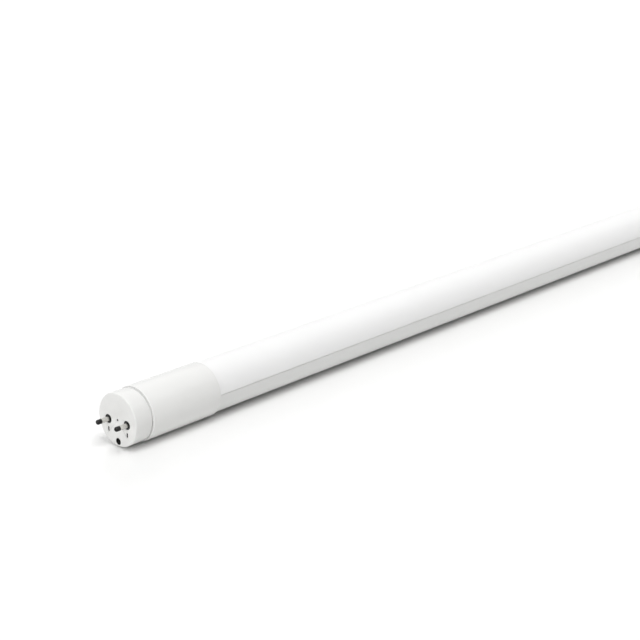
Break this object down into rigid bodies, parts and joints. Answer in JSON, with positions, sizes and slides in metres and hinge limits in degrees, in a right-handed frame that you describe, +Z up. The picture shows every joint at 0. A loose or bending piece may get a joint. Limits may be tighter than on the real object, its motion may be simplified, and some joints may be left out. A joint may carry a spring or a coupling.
{
  "type": "led tube lamp",
  "caption": "Straight tubular LED lamp with a translucent diffuser over a white-coated heat sink, and a cap with contact pins at each end.",
  "frame": {"origin": "bottom centre of the bounding box, on the surface that the tube lies on, under the middle of its length", "axes": "+X runs along the tube away from the driver end, +Y to its left seen from that end, +Z up through the diffuser; the tube lies on its two end sleeves with the heat sink underneath"},
  "size_m": [0.6038, 0.027, 0.0269],
  "materials": {
    "diffuser_white": "satin",
    "cap_white": "gloss",
    "coated_aluminium": "satin",
    "pin_metal": "polished",
    "bush_black": "satin",
    "screw_steel": "satin",
    "white_board": "satin",
    "green_board": "satin",
    "chip_yellow": "satin",
    "grey_tape": "matte",
    "amber_film": "gloss",
    "black_mould": "matte",
    "fuse_green": "gloss",
    "film_yellow": "gloss",
    "varistor_blue": "gloss",
    "capacitor_sleeve": "gloss",
    "ferrite": "matte",
    "copper_winding": "polished",
    "lead_white": "satin",
    "lead_black": "satin"
  },
  "bodies": {
    "root": {"bridge_rectifier": "black_mould", "bulk_capacitor": "capacitor_sleeve", "diffuser": "diffuser_white", "driver_board": "green_board", "driver_chip": "black_mould", "driver_film": "amber_film", "far_cap": "cap_white", "far_cap_screw": "screw_steel", "far_link": "lead_white", "far_pin_bush_left": "bush_black", "far_pin_bush_right": "bush_black", "far_pin_left": "pin_metal", "far_pin_right": "pin_metal", "far_sleeve": "cap_white", "film_capacitor": "film_yellow", "filter_choke": "ferrite", "fuse": "fuse_green", "heat_sink": "coated_aluminium", "input_lead_left": "lead_white", "input_lead_right": "lead_black", "led_board": "white_board", "led_chips": "chip_yellow", "led_jumper_left": "lead_white", "led_jumper_right": "lead_black", "near_cap": "cap_white", "near_cap_screw": "screw_steel", "near_pin_bush_left": "bush_black", "near_pin_bush_right": "bush_black", "near_pin_left": "pin_metal", "near_pin_right": "pin_metal", "near_sleeve": "cap_white", "output_diode": "black_mould", "resistors": "black_mould", "thermal_tape": "grey_tape", "transformer_core": "ferrite", "transformer_winding": "copper_winding", "varistor": "varistor_blue"}
  },
  "joints": []
}
